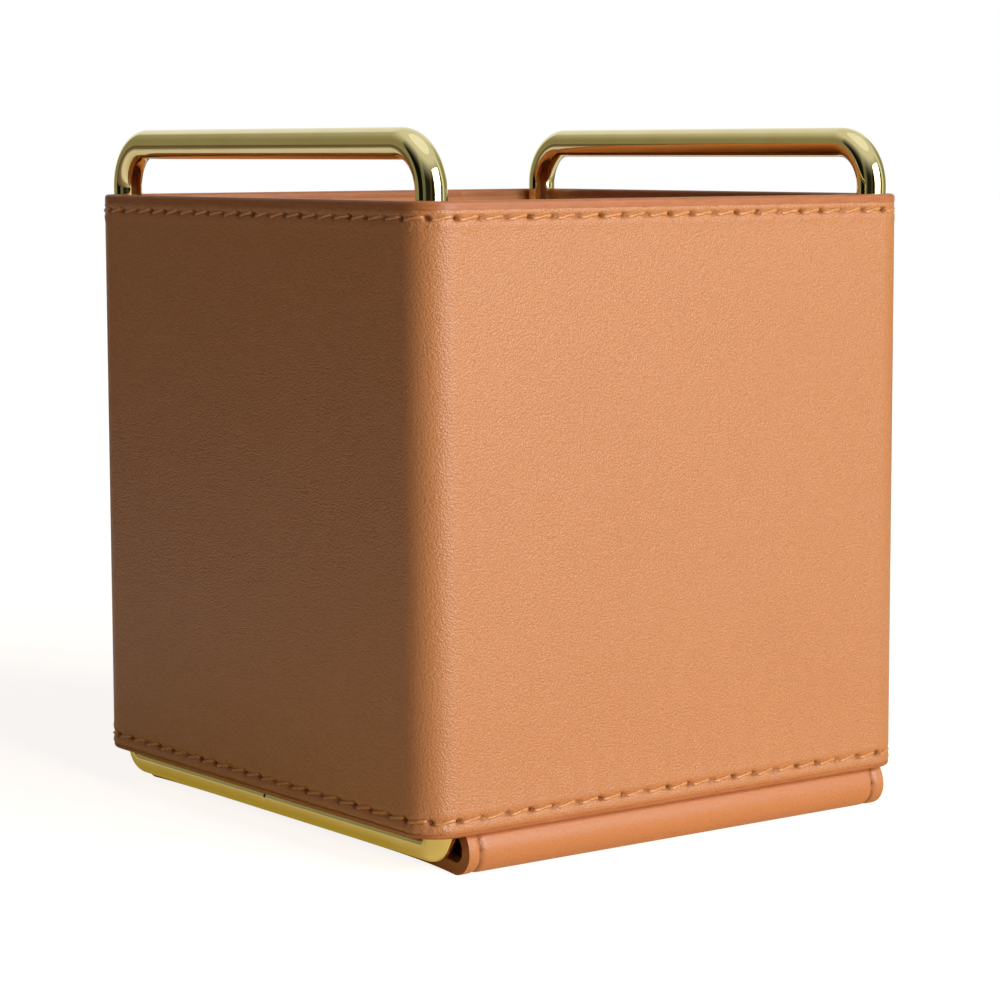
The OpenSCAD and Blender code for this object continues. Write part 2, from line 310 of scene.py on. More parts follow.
# Microfibre suede, with a short brushed nap
def makeSuede():
    material, tree, shader, place = startMaterial("BrushedMicrofibreSuede")
    tuft = 0.35 * mm          # tufts of nap, coarser than real ones so that they show
    tuftDepth = 0.12 * mm
    stroke = 11 * mm          # length of the strokes that the brush left
    napShare = 0.5            # how much the nap shades the colour beside the strokes
    nap = addNode(tree, "ShaderNodeTexNoise", Vector=place, Scale=perMetre(tuft), Detail=4.0)
    strokes = addNode(tree, "ShaderNodeTexNoise", Vector=place, Scale=perMetre(stroke), Detail=2.0,
                      Distortion=1.5)
    both = addNode(tree, "ShaderNodeMath", {"operation": "MULTIPLY_ADD"},
                   i0=nap.outputs["Fac"], i1=napShare, i2=strokes.outputs["Fac"])
    finishSurface(tree, shader, ((0.5, "#94592F"), (1.0, "#B5764A")), both.outputs[0],
                  nap.outputs["Fac"], tuftDepth)
    shader.inputs["Roughness"].default_value = 0.95
    shader.inputs["Sheen Weight"].default_value = 0.4
    return material


bandHide = makeCowhide("EmbossedCowhide", "#D28D58", "#C98350", 0.085 * mm)
strapHide = makeCowhide("SmoothStrapCowhide", "#D48A55", "#CC824C", 0.03 * mm)
liningLeather = makeLiningLeather()
edgePaint = makeEdgePaint("AcrylicEdgePaint", "#B76D3F", "#C47A49")
strapEdgePaint = makeEdgePaint("AcrylicEdgePaintBrown", "#A25A30", "#B0683A")
bandThread = makeThread("BondedPolyesterThread", "#C97F3E", "#E9AA68")
strapThread = makeThread("BondedPolyesterThreadBrown", "#8E4C26", "#A9673C")
giltSteel = makeGiltSteel()
greyBoard = makeGreyBoard()
suede = makeSuede()
print("materials made")


# The band, from the sizes of its CAD nodes
leatherLow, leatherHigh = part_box("band_outer_leather")
liningLow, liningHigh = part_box("band_lining")
rimLow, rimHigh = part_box("rim_edge_coat")
hemLow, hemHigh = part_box("hem_edge_coat")
loopLow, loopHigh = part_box("loop_right")
bandShape = {
    "cornerRadius": 5.8 * mm,
    "liningThickness": 0.5 * mm,
    "rodRadius": 2.35 * mm,
    "rodGap": 0.05 * mm,       # between a post and the lining
    "pocketGap": 0.05 * mm,    # round each board
    "pocketSlack": 0.4 * mm,   # beyond each board's ends
    "columnsPerStitch": 14,    # how finely the face is cut up along the stitch lines
    "rowsBetween": 9,          # rows of the plain face between the two stitch lines
    "liningCornerCuts": 10,
}
rodRadius = bandShape["rodRadius"]
rodX = loopHigh.x - rodRadius
rodY = loopHigh.y - rodRadius

# Each outline is a rounded square: how far its sides lie from the middle, and its corner radius
innerReach = rodX + rodRadius + bandShape["rodGap"]
innerRadius = rodRadius + bandShape["rodGap"]
faceOutline = (leatherHigh.x, bandShape["cornerRadius"])
backOutline = (liningHigh.x, innerRadius + bandShape["liningThickness"])
innerOutline = (innerReach, innerRadius)


def shiftOutline(point, old, new):
    # Moves a point of one rounded square to its place on another
    oldHalf = old[0] - old[1]
    newHalf = new[0] - new[1]
    middle = Vector((held(point.x, oldHalf), held(point.y, oldHalf)))
    outward = (point.xy - middle).normalized()
    place = middle * (newHalf / oldHalf) + outward * new[1]
    return Vector((place.x, place.y, point.z))


def startRing(outline, z, sideCuts, cornerCuts):
    # An open rounded square of edges, on which walls are extruded
    clearSelection()
    bpy.ops.mesh.primitive_plane_add(size=2 * outline[0], location=(0, 0, z))
    ring = bpy.context.object
    applyPlace()
    bpy.ops.object.mode_set(mode="EDIT")
    bpy.ops.mesh.select_all(action="SELECT")
    bpy.ops.mesh.bevel(offset=outline[1], offset_type="OFFSET", segments=cornerCuts, affect="VERTICES")
    bpy.ops.mesh.delete(type="ONLY_FACE")
    bpy.ops.object.mode_set(mode="OBJECT")
    if sideCuts:
        points = ring.data.vertices

        def isStraight(e):
            start, end = (points[i].co for i in e.vertices)
            return (start - end).length > outline[1]

        pick(ring, "EDGE", isStraight)
        bpy.ops.mesh.subdivide(number_cuts=sideCuts)
        bpy.ops.object.mode_set(mode="OBJECT")
    pick(ring, "EDGE", lambda e: True)
    return ring


def addRow(piece, place):
    # Extrudes the open loop and puts each new point where place says
    bpy.ops.mesh.extrude_edges_move(TRANSFORM_OT_translate={"value": (0, 0, 0)})
    bpy.ops.object.mode_set(mode="OBJECT")
    for vertex in piece.data.vertices:
        if vertex.select:
            vertex.co = place(vertex.co)
    bpy.ops.object.mode_set(mode="EDIT")


def atHeight(z):
    return lambda co: Vector((co.x, co.y, z))


# Stitch lines of the band
bandStitches = {
    "margin": 2.5 * mm,
    "perSide": 19,
    "perCorner": 2,
    "threadRadius": 0.29 * mm,
    "share": 0.84,             # length of a stitch between two holes
    "slant": math.radians(10.5),
    "slantSpread": 0.25,       # no two stitches lean quite alike
    "proud": -0.08 * mm,       # how far the middle of a stitch lies outside the face
    "dive": 0.75 * mm,         # how far its ends go down into their holes
}
sideHalf = faceOutline[0] - faceOutline[1]
sidePitch = 2 * sideHalf / bandStitches["perSide"]
rimLine = rimHigh.z - bandStitches["margin"]
hemLine = hemLow.z + bandStitches["margin"]
sideDirections = [Vector((1, 0)), Vector((0, 1)), Vector((-1, 0)), Vector((0, -1))]


def stitchPhase(point):
    # Stitches between the left end of the front and this point of the face, going round to the right
    middle = Vector((held(point.x, sideHalf), held(point.y, sideHalf)))
    outward = point.xy - middle
    turn = math.degrees(math.atan2(outward.x, -outward.y)) % 360
    side = int((turn + 0.001) // 90) % 4
    bend = (turn + 0.001) % 90 / 90
    along = (middle.dot(sideDirections[side]) + sideHalf) / (2 * sideHalf)
    perSide, perCorner = bandStitches["perSide"], bandStitches["perCorner"]
    return side * (perSide + perCorner) + along * perSide + bend * perCorner


leatherFeel = {
    "groove": 0.16 * mm,
    "grooveWidth": 0.42 * mm,
    "pit": 1.0 * mm,
    "pitWidth": 0.34 * mm,
    "holeShadeAlong": 0.46 * mm,   # painted shade round each hole
    "holeShadeAcross": 0.42 * mm,
    "puff": 0.12 * mm,         # the leather swells between two holes
    "puffFromLine": 1.15 * mm,
    "puffWidth": 0.5 * mm,
    "pucker": 0.05 * mm,       # short wrinkles that the stitches pull downwards
    "puckerFromLine": 1.3 * mm,
    "puckerWidth": 0.7 * mm,
    "puckersPerStitch": 3,
    "edgeTuck": 0.14 * mm,     # it is pressed in where the paint begins
    "edgeTuckWidth": 0.25 * mm,
    "seamX": 27 * mm,          # the closing seam on the back
    "seamDepth": 0.35 * mm,
    "seamWidth": 0.22 * mm,
}


def besideHole(phase, fromLine, along, across):
    # 1 at an awl hole, fading to 0 over these widths
    toHole = (phase - round(phase)) * sidePitch
    return bell(toHole, along) * bell(fromLine, across)


def stitchDent(phase, fromLine, fromEdge):
    # How far the face stands out at a place near a stitch line
    feel = leatherFeel
    dent = -feel["groove"] * bell(fromLine, feel["grooveWidth"])
    dent -= feel["pit"] * besideHole(phase, fromLine, feel["pitWidth"], feel["pitWidth"])
    swell = 0.55 - 0.45 * math.cos(2 * math.pi * phase)      # a tenth at a hole, whole between two holes
    dent += feel["puff"] * swell * bell(abs(fromLine) - feel["puffFromLine"], feel["puffWidth"])
    wrinkle = math.sin(2 * math.pi * feel["puckersPerStitch"] * phase)
    wrinkle *= bell(fromLine + feel["puckerFromLine"], feel["puckerWidth"])
    dent += feel["pucker"] * wrinkle * (0.6 + 0.4 * math.sin(phase * 1.7))      # no two alike
    dent -= feel["edgeTuck"] * bell(fromEdge, feel["edgeTuckWidth"])
    return dent


def seamDent(point):
    # The closing seam is a butt joint in the back, where the two ends of the leather meet
    if point.y < 0 or abs(point.x) > sideHalf:
        return 0
    return -leatherFeel["seamDepth"] * bell(point.x - leatherFeel["seamX"], leatherFeel["seamWidth"])


def makeBandLeather():
    columns = bandShape["columnsPerStitch"]
    sideCuts = bandStitches["perSide"] * columns - 1
    cornerCuts = bandStitches["perCorner"] * columns
    low, high = leatherLow.z, leatherHigh.z
    # Rows lie close together near the edges, where the stitch lines run
    nearSteps = (0, 0.2, 0.4, 0.6, 0.8, 1, 1.2, 1.4, 1.6, 1.8, 2, 2.25, 2.55, 2.9, 3.3, 3.8)
    lowRows = [low + step * mm for step in nearSteps]
    highRows = [high - step * mm for step in reversed(nearSteps)]
    gaps = bandShape["rowsBetween"] + 1
    span = highRows[0] - lowRows[-1]
    midRows = [lowRows[-1] + span * i / gaps for i in range(1, gaps)]

    def onFace(z):
        def place(co):
            middle = Vector((held(co.x, sideHalf), held(co.y, sideHalf)))
            outward = (co.xy - middle).normalized()
            fromLine = min(z - hemLine, z - rimLine, key=abs)
            out = stitchDent(stitchPhase(co), fromLine, min(z - low, high - z)) + seamDent(co)
            spot = middle + outward * (faceOutline[1] + out)
            return Vector((spot.x, spot.y, z))
        return place

    piece = startRing(faceOutline, low, sideCuts, cornerCuts)
    bpy.ops.object.mode_set(mode="OBJECT")
    for vertex in piece.data.vertices:
        vertex.co = onFace(low)(vertex.co)
    bpy.ops.object.mode_set(mode="EDIT")
    for z in (lowRows + midRows + highRows)[1:]:
        addRow(piece, onFace(z))

    # The back of the leather, with the pockets that the boards lie in
    boardLow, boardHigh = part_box("front_board")
    gap = bandShape["pocketGap"]
    pocketEnd = boardHigh.x + bandShape["pocketSlack"]
    pocketReach = -boardLow.y + gap

    def backPlace(z, pocket, old):
        def place(co):
            spot = shiftOutline(co, old, backOutline)
            if pocket:
                if abs(spot.x) < pocketEnd:
                    spot.y = math.copysign(pocketReach, spot.y)
                elif abs(spot.y) < pocketEnd:
                    spot.x = math.copysign(pocketReach, spot.x)
            spot.z = z
            return spot
        return place

    tuckedFace = (faceOutline[0] - leatherFeel["edgeTuck"], faceOutline[1] - leatherFeel["edgeTuck"])
    addRow(piece, backPlace(high, False, tuckedFace))
    addRow(piece, atHeight(boardHigh.z + gap))
    addRow(piece, backPlace(boardHigh.z + gap, True, backOutline))
    addRow(piece, atHeight(boardLow.z - gap))
    addRow(piece, backPlace(boardLow.z - gap, False, backOutline))
    addRow(piece, atHeight(low))
    bpy.ops.object.mode_set(mode="OBJECT")
    pickEdgesAt(piece, low)
    bpy.ops.mesh.bridge_edge_loops()
    closeAndSmooth(piece, 50)

    # Painted shade round each awl hole of the band's stitch lines
    def paintedShade(co):
        fromLine = min(co.z - hemLine, co.z - rimLine, key=abs)
        return besideHole(stitchPhase(co), fromLine, leatherFeel["holeShadeAlong"], leatherFeel["holeShadeAcross"])

    paintStitchShade(piece, [paintedShade(v.co) for v in piece.data.vertices])
    finishPiece(piece, "bandLeather", "leather", bandHide, "band_outer_leather")


makeBandLeather()


def makeTube(outer, inner, low, high, sideCuts, cornerCuts):
    # An upright wall between two outlines, closed at both ends
    piece = startRing(outer, low, sideCuts, cornerCuts)
    addRow(piece, atHeight(high))
    addRow(piece, lambda co: shiftOutline(co, outer, inner))
    addRow(piece, atHeight(low))
    bpy.ops.object.mode_set(mode="OBJECT")
    pickEdgesAt(piece, low)
    bpy.ops.mesh.bridge_edge_loops()
    bpy.ops.object.mode_set(mode="OBJECT")
    return piece


def makeLining():
    piece = makeTube(backOutline, innerOutline, liningLow.z, liningHigh.z, 0, bandShape["liningCornerCuts"])
    closeAndSmooth(piece, 40)
    finishPiece(piece, "bandLining", "lining", liningLeather, "band_lining")


makeLining()


edgeCoat = {
    "rounding": 0.58 * mm,
    "roundingCuts": 5,
    "sideCuts": 190,           # fine enough for the notch at the closing seam
    "cornerCuts": 12,
    "innerNotchShare": 0.6,    # the seam's notch is shallower on the inside
}


def makeEdgeCoat(name, node, low, high, outerZ):
    # The painted edge: a wall as thick as both leathers, with both its rims rounded over
    piece = makeTube(faceOutline, innerOutline, low, high, edgeCoat["sideCuts"], edgeCoat["cornerCuts"])
    points = piece.data.vertices

    def isOutside(p):
        middle = Vector((held(p.x, sideHalf), held(p.y, sideHalf)))
        return (p.xy - middle).length > faceOutline[1] - edgeCoat["rounding"] / 2

    def onRim(e):
        a, b = (points[i].co for i in e.vertices)
        atRim = abs(a.z - outerZ) < sameHeight and abs(b.z - outerZ) < sameHeight
        return atRim and isOutside(a) == isOutside(b)

    pick(piece, "EDGE", onRim)
    bpy.ops.mesh.bevel(offset=edgeCoat["rounding"], offset_type="OFFSET", segments=edgeCoat["roundingCuts"],
                       affect="EDGES")
    bpy.ops.object.mode_set(mode="OBJECT")
    for vertex in piece.data.vertices:
        dent = seamDent(vertex.co)
        if isOutside(vertex.co):
            vertex.co.y += dent
        elif node == "rim_edge_coat":
            vertex.co.y -= dent * edgeCoat["innerNotchShare"]
    closeAndSmooth(piece, 40)
    finishPiece(piece, name, "edge_coat", edgePaint, node)


makeEdgeCoat("rimPaint", "rim_edge_coat", rimLow.z, rimHigh.z, rimHigh.z)
makeEdgeCoat("hemPaint", "hem_edge_coat", hemLow.z, hemHigh.z, hemLow.z)


threadShape = {
    "sides": 8,
    "rings": 11,
    "plyShare": 0.78,          # two plies side by side are narrower one way than the other
    "twist": math.radians(40),     # from ring to ring
    "thinning": 0.3,           # how much the thread narrows where its ends are pulled down
    "thinningPower": 8,        # how late it does so
    "divePower": 14,
}


def makeThreadStitch(length, radius, dive, bendRadius=0):
    # One stitch of two-ply thread along X, twisted, with both ends going down (-Y is out of the leather)
    clearSelection()
    bpy.ops.mesh.primitive_circle_add(vertices=threadShape["sides"], radius=radius, fill_type="NGON",
                                      rotation=(0, math.pi / 2, 0))
    stitch = bpy.context.object
    applyPlace()
    for vertex in stitch.data.vertices:
        vertex.co.z *= threadShape["plyShare"]
    gaps = threadShape["rings"] - 1
    pick(stitch, "FACE", lambda f: True)
    for ring in range(1, gaps + 1):
        bpy.ops.mesh.extrude_region_move(TRANSFORM_OT_translate={"value": (length / gaps, 0, 0)})
        bpy.ops.transform.rotate(value=threadShape["twist"], orient_axis="X",
                                 center_override=(length * ring / gaps, 0, 0))
    bpy.ops.object.mode_set(mode="OBJECT")
    for vertex in stitch.data.vertices:
        share = round(vertex.co.x / length * gaps) / gaps * 2 - 1      # -1 to 1 from end to end
        thin = 1 - threadShape["thinning"] * abs(share) ** threadShape["thinningPower"]
        along = math.sin(share * math.pi / 2) * length / 2      # rings lie closer where the ends go down
        down = vertex.co.y * thin + dive * abs(along * 2 / length) ** threadShape["divePower"]
        if bendRadius:
            turn = along / bendRadius
            along = (bendRadius - down) * math.sin(turn)
            down = bendRadius - (bendRadius - down) * math.cos(turn)
        vertex.co = Vector((along, down, vertex.co.z * thin))
    return stitch


def sewBand(name, node, lineZ):
    length = sidePitch * bandStitches["share"]
    straight = makeThreadStitch(length, bandStitches["threadRadius"], bandStitches["dive"])
    bent = makeThreadStitch(length, bandStitches["threadRadius"], bandStitches["dive"], faceOutline[1])
    chance = random.Random(7)
    unevenness = bandStitches["slantSpread"]
    toFace = -faceOutline[0] - bandStitches["proud"]
    toBend = -faceOutline[1] - bandStitches["proud"]
    stitches = []
    for side in range(4):
        line = Matrix.Translation((0, 0, lineZ)) @ Matrix.Rotation(math.pi / 2 * side, 4, "Z")
        places = [(straight, Matrix.Translation(((k + 0.5) * sidePitch - sideHalf, toFace, 0)))
                  for k in range(bandStitches["perSide"])]
        for k in range(bandStitches["perCorner"]):
            bend = math.pi / 2 * (k + 0.5) / bandStitches["perCorner"]
            corner = Matrix.Translation((sideHalf, -sideHalf, 0)) @ Matrix.Rotation(bend, 4, "Z")
            places.append((bent, corner @ Matrix.Translation((0, toBend, 0))))
        for pattern, place in places:
            lean = -bandStitches["slant"] * chance.uniform(1 - unevenness, 1 + unevenness)
            stitches.append((pattern, line @ place @ Matrix.Rotation(lean, 4, "Y")))
    piece = joinCopies(stitches)
    closeAndSmooth(piece, 60)
    finishPiece(piece, name, "thread", bandThread, node)


sewBand("rimThread", "rim_stitching", rimLine)
sewBand("hemThread", "hem_stitching", hemLine)


# The loops: round rod bent into a closed ring, with its butt joint in the foot bar
loopShape = {
    "handleBend": 7.1 * mm,
    "footBend": 2.4 * mm,
    "footInset": 1.2 * mm,     # each loop leans in by this much at its foot
    "jointY": 1.4 * mm,
    "jointWidth": 0.44 * mm,
    "jointDepth": 0.3 * mm,
    "sides": 48,
    "footBendCuts": 16,
    "handleBendCuts": 28,
}


def makeLoop(name, node, side):
    # Made hanging from its handle bar, then leaned in and put in its place
    handleZ = loopHigh.z - rodRadius
    drop = handleZ - loopLow.z - rodRadius
    lean = math.atan(loopShape["footInset"] / drop)
    height = drop / math.cos(lean)
    footBend, handleBend = loopShape["footBend"], loopShape["handleBend"]
    jointY, groove = loopShape["jointY"], loopShape["jointDepth"]
    clearSelection()
    bpy.ops.mesh.primitive_circle_add(vertices=loopShape["sides"], radius=rodRadius,
                                      location=(0, jointY, -height), rotation=(math.pi / 2, 0, 0))
    piece = bpy.context.object
    applyPlace()

    def run(dy, dz):
        bpy.ops.mesh.extrude_edges_move(TRANSFORM_OT_translate={"value": (0, dy, dz)})

    def bendRod(y, z, cuts):
        bpy.ops.mesh.spin(steps=cuts, angle=-math.pi / 2, center=(0, y, z), axis=(1, 0, 0))

    pick(piece, "EDGE", lambda e: True)
    half = loopShape["jointWidth"] / 2
    footCuts, handleCuts = loopShape["footBendCuts"], loopShape["handleBendCuts"]
    run(half, 0)
    run(half, 0)
    run(rodY - footBend - jointY - 2 * half, 0)
    bendRod(rodY - footBend, footBend - height, footCuts)
    run(0, height - handleBend - footBend)
    bendRod(rodY - handleBend, -handleBend, handleCuts)
    run(-2 * (rodY - handleBend), 0)
    bendRod(handleBend - rodY, -handleBend, handleCuts)
    run(0, -(height - handleBend - footBend))
    bendRod(footBend - rodY, footBend - height, footCuts)
    run(rodY - footBend + jointY - 2 * half, 0)
    run(half, 0)
    run(half, 0)
    bpy.ops.object.mode_set(mode="OBJECT")
    closeAndSmooth(piece, 30)
    for vertex in piece.data.vertices:
        if abs(vertex.co.y - jointY) < half / 2 and vertex.co.z < footBend - height:
            middle = Vector((0, vertex.co.y, -height))
            vertex.co = middle + (vertex.co - middle) * (1 - groove / rodRadius)
    piece.rotation_euler = (0, side * lean, 0)
    piece.location = (side * rodX, 0, handleZ)
    finishPiece(piece, name, "metal", giltSteel, node)


makeLoop("leftLoop", "loop_left", -1)
makeLoop("rightLoop", "loop_right", 1)


# The strap: a wide tongue of leather that forms the underside and is tucked up inside the hem
strapLow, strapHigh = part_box("strap_outer_leather")
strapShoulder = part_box("strap_inner_leather")[1].x
strapShape = {
    "thickness": 1.85 * mm,
    "outerThickness": 0.8 * mm,
    "rollRadius": 3.6 * mm,
    "tuckRadius": 0.65 * mm,
    "tuckY": 46.2 * mm,
    "tuckAboveHem": 0.6 * mm,
    "shoulderDrop": 0.2 * mm,
    "edgeCurl": 0.75 * mm,     # its left edge curls up between the two rolls
    "curlReach": 9 * mm,
    "curlPower": 6,            # how late the curl ends before each roll
    "rowsPerStitch": 10,
    "rollCuts": 16,
    "upperCuts": 14,
    "tuckCuts": 5,
    "columnsBetween": 11,
    "edgeColumn": 0.5 * mm,    # a column of points this far in from each side edge
    "shoulderStep": 0.02 * mm,
    "pitch": 4.4 * mm,
    "stitchMargin": 2.3 * mm,
    "threadRadius": 0.28 * mm,
    "threadSink": 0.06 * mm,   # how far the thread lies under the face
    "dive": 0.5 * mm,
    "stitchShare": 0.8,
    "groove": 0.34 * mm,
    "grooveWidth": 0.46 * mm,
    "holeWidth": 0.5 * mm,
    # painted shade along each stitch groove, and how wide it spreads
    "grooveShade": 0.55,
    "grooveShadeWidth": 0.3 * mm,
    "grooveReach": 1.3 * mm,   # the edge paint keeps this far from a stitch line
    "edgeRound": 0.28 * mm,
}
rollY = strapHigh.y
rollRadius = strapShape["rollRadius"]
tuckRadius = strapShape["tuckRadius"]
tuckY = strapShape["tuckY"]
tuckZ = hemLow.z + strapShape["tuckAboveHem"]
tuckBack = tuckY - rollY
tuckUp = tuckZ - rollRadius
upperRadius = (tuckBack ** 2 + tuckUp ** 2 - tuckRadius ** 2) / (2 * (tuckRadius - tuckBack))
tuckTurn = math.atan2(tuckUp, upperRadius + tuckBack)
flatHalf = rollY - rollRadius


def strapRows():
    # From the middle of the underside to the top of the back tab: where each row lies on the outer
    # face (y, z), which way is out of the leather there (y, z), and the length run so far
    pitch = 2 * flatHalf / round(2 * flatHalf / strapShape["pitch"])
    step = pitch / strapShape["rowsPerStitch"]
    rows = [(step * i, 0.0, 0.0, -1.0, step * i) for i in range(round(flatHalf / step) + 1)]
    run = flatHalf

    def addArc(y, z, radius, start, end, count, sign):
        nonlocal run
        for i in range(1, count + 1):
            turn = start + (end - start) * i / count
            out = (sign * math.cos(turn), sign * math.sin(turn))
            rows.append((y + radius * math.cos(turn), z + radius * math.sin(turn), out[0], out[1],
                         run + radius * abs(turn - start)))
        run += radius * abs(end - start)

    addArc(flatHalf, rollRadius, rollRadius, -math.pi / 2, 0, strapShape["rollCuts"], 1)
    addArc(rollY - upperRadius, rollRadius, upperRadius, 0, tuckTurn, strapShape["upperCuts"], 1)
    addArc(tuckY, tuckZ, tuckRadius, math.pi + tuckTurn, math.pi, strapShape["tuckCuts"], -1)
    for heightShare in (0.02, 0.3, 0.6, 0.9, 1.0):
        rows.append((tuckY - tuckRadius, tuckZ + (strapHigh.z - tuckZ) * heightShare, 1.0, 0.0, run + 1))
    return rows, pitch


def makeStrap():
    rows, pitch = strapRows()
    left, right, shoulder = strapLow.x, strapHigh.x, strapShoulder
    lines = (left + strapShape["stitchMargin"], right - strapShape["stitchMargin"])
    shoulderZ = hemLow.z - strapShape["shoulderDrop"]
    pastShoulder = shoulder + strapShape["shoulderStep"] / 2

    # Columns of points lie close beside the two stitch lines
    beside = [d * mm for d in (-1.2, -0.9, -0.65, -0.45, -0.25, 0, 0.25, 0.45, 0.65, 0.9, 1.2)]
    gaps = strapShape["columnsBetween"] + 1
    columns = [left, left + strapShape["edgeColumn"], right - strapShape["edgeColumn"], right]
    columns += [shoulder, shoulder + strapShape["shoulderStep"]]
    columns += [line + d for line in lines for d in beside]
    columns += [left + (right - left) * i / gaps for i in range(1, gaps)]
    columns = sorted(columns)
    rollEnd = flatHalf + rollRadius * math.pi / 2
    tuckStart = rollEnd + upperRadius * tuckTurn

    def besideLine(x):
        return min(abs(x - line) for line in lines)

    def dent(x, run):
        # The groove of the stitch lines, deeper at each hole: none in the tuck and on the tabs
        if run > tuckStart:
            return 0
        if run <= flatHalf:
            phase = run / pitch
        else:
            phase = flatHalf / pitch + (run - flatHalf) / (rollEnd - flatHalf)
        toHole = (phase - round(phase)) * pitch
        deep = strapShape["groove"] * bell(besideLine(x), strapShape["grooveWidth"])
        return deep * (0.7 + 0.6 * bell(toHole, strapShape["holeWidth"]))

    def place(row, side):
        y, z, outY, outZ, run = row
        curlEnd = flatHalf if side < 0 else tuckStart

        def put(co):
            inward = dent(co.x, run)
            nearEdge = max(0, 1 - (co.x - left) / strapShape["curlReach"]) ** 2
            along = max(0, 1 - (run / curlEnd) ** strapShape["curlPower"])
            curl = strapShape["edgeCurl"] * nearEdge * along
            return Vector((co.x, side * (y - outY * inward), z - outZ * inward + curl))
        return put

    order = [(row, -1) for row in reversed(rows[1:])] + [(row, 1) for row in rows]
    clearSelection()
    bpy.ops.mesh.primitive_plane_add(size=right - left, location=((left + right) / 2, 0, 0))
    piece = bpy.context.object
    applyPlace()
    pick(piece, "VERT", lambda v: v.co.y > 0)
    bpy.ops.mesh.delete(type="VERT")
    bpy.ops.mesh.select_all(action="SELECT")
    bpy.ops.mesh.subdivide(number_cuts=len(columns) - 2)
    bpy.ops.object.mode_set(mode="OBJECT")
    firstPut = place(*order[0])
    for vertex, x in zip(sorted(piece.data.vertices, key=lambda v: v.co.x), columns):
        vertex.co = firstPut(Vector((x, 0, 0)))
    pick(piece, "EDGE", lambda e: True)
    for row in order[1:]:
        addRow(piece, place(*row))
    bpy.ops.object.mode_set(mode="OBJECT")

    # Above the shoulder the strap is as narrow as its tabs
    pick(piece, "FACE", lambda f: f.center.x > pastShoulder and f.center.z > shoulderZ)
    bpy.ops.mesh.delete(type="FACE")
    bpy.ops.mesh.select_all(action="SELECT")
    bpy.ops.object.mode_set(mode="OBJECT")
    lowest = min(piece.data.polygons, key=lambda f: f.center.z)
    if lowest.normal.z > 0:
        bpy.ops.object.mode_set(mode="EDIT")
        bpy.ops.mesh.flip_normals()
        bpy.ops.object.mode_set(mode="OBJECT")

    # The inner layer ends at the shoulder, so the strap is thinner beyond it
    layers = piece.vertex_groups.new(name="bothLayers")
    thin = strapShape["outerThickness"] / strapShape["thickness"]
    for vertex in piece.data.vertices:
        layers.add([vertex.index], 1.0 if vertex.co.x < pastShoulder else thin, "REPLACE")
    applyModifier(piece, "SOLIDIFY", thickness=strapShape["thickness"], offset=-1, vertex_group="bothLayers")
    applyModifier(piece, "BEVEL", width=strapShape["edgeRound"], segments=3, limit_method="ANGLE",
                  angle_limit=math.radians(65))
    closeAndSmooth(piece, 75)
    finishPiece(piece, "strap", "leather", strapHide, "strap_outer_leather", "strap_inner_leather")
    piece.data.materials.append(strapEdgePaint)
    for face in piece.data.polygons:
        if abs(face.normal.x) > 0.5 and besideLine(face.center.x) > strapShape["grooveReach"]:
            face.material_index = 1

    # Painted shade: the groove is painted a little darker than the strap, where shade falls along the thread
    paintedShade, width = strapShape["grooveShade"], strapShape["grooveShadeWidth"]
    paintStitchShade(piece, [paintedShade * bell(besideLine(v.co.x), width) for v in piece.data.vertices])
    return lines, pitch


strapLines, strapPitch = makeStrap()


def sewStrap(name, node, x, topTurn):
    # Stitches along the underside, and one more on each roll's lower and upper part
    share, dive = strapShape["stitchShare"], strapShape["dive"]
    radius = strapShape["threadRadius"]
    sink = strapShape["threadSink"] + radius
    lowRun = rollRadius * math.pi / 2
    highRun = upperRadius * topTurn
    flat = makeThreadStitch(strapPitch * share, radius, dive)
    low = makeThreadStitch(lowRun * share, radius, dive, rollRadius - sink)
    high = makeThreadStitch(highRun * share, radius, dive, upperRadius - sink)

    # The patterns run along X with -Y outward; here they run along Y with -Z outward
    stand = Matrix(((0, 0, 1, 0), (1, 0, 0, 0), (0, 1, 0, 0), (0, 0, 0, 1)))
    places = []
    for k in range(round(2 * flatHalf / strapPitch)):
        places.append((flat, Matrix.Translation((x, (k + 0.5) * strapPitch - flatHalf, sink)) @ stand))
    bends = ((low, flatHalf, rollRadius, math.pi / 4),
             (high, rollY - upperRadius, upperRadius, math.pi / 2 + topTurn / 2))
    for side in (1, -1):
        flip = Matrix.Scale(side, 4, (0, 1, 0))
        for pattern, middleY, bendRadius, turn in bends:
            middle = Matrix.Translation((x, middleY, rollRadius)) @ Matrix.Rotation(turn, 4, "X")
            places.append((pattern, flip @ middle @ Matrix.Translation((0, 0, sink - bendRadius)) @ stand))
    piece = joinCopies(places)
    closeAndSmooth(piece, 60)
    finishPiece(piece, name, "thread", strapThread, node)


leftTopShare, rightTopShare = 0.75, 0.5      # how far up the roll each line goes before the hem hides it
sewStrap("strapThreadLeft", "strap_stitching_left", strapLines[0], tuckTurn * leftTopShare)
sewStrap("strapThreadRight", "strap_stitching_right", strapLines[1], tuckTurn * rightTopShare)


# The floor's lining: suede laid on the board, notched round the posts
floorLining = {
    "notchX": 39.5 * mm,
    "notchY": 40.05 * mm,
    "cuts": 9,
    "edgeRound": 0.25 * mm,
}


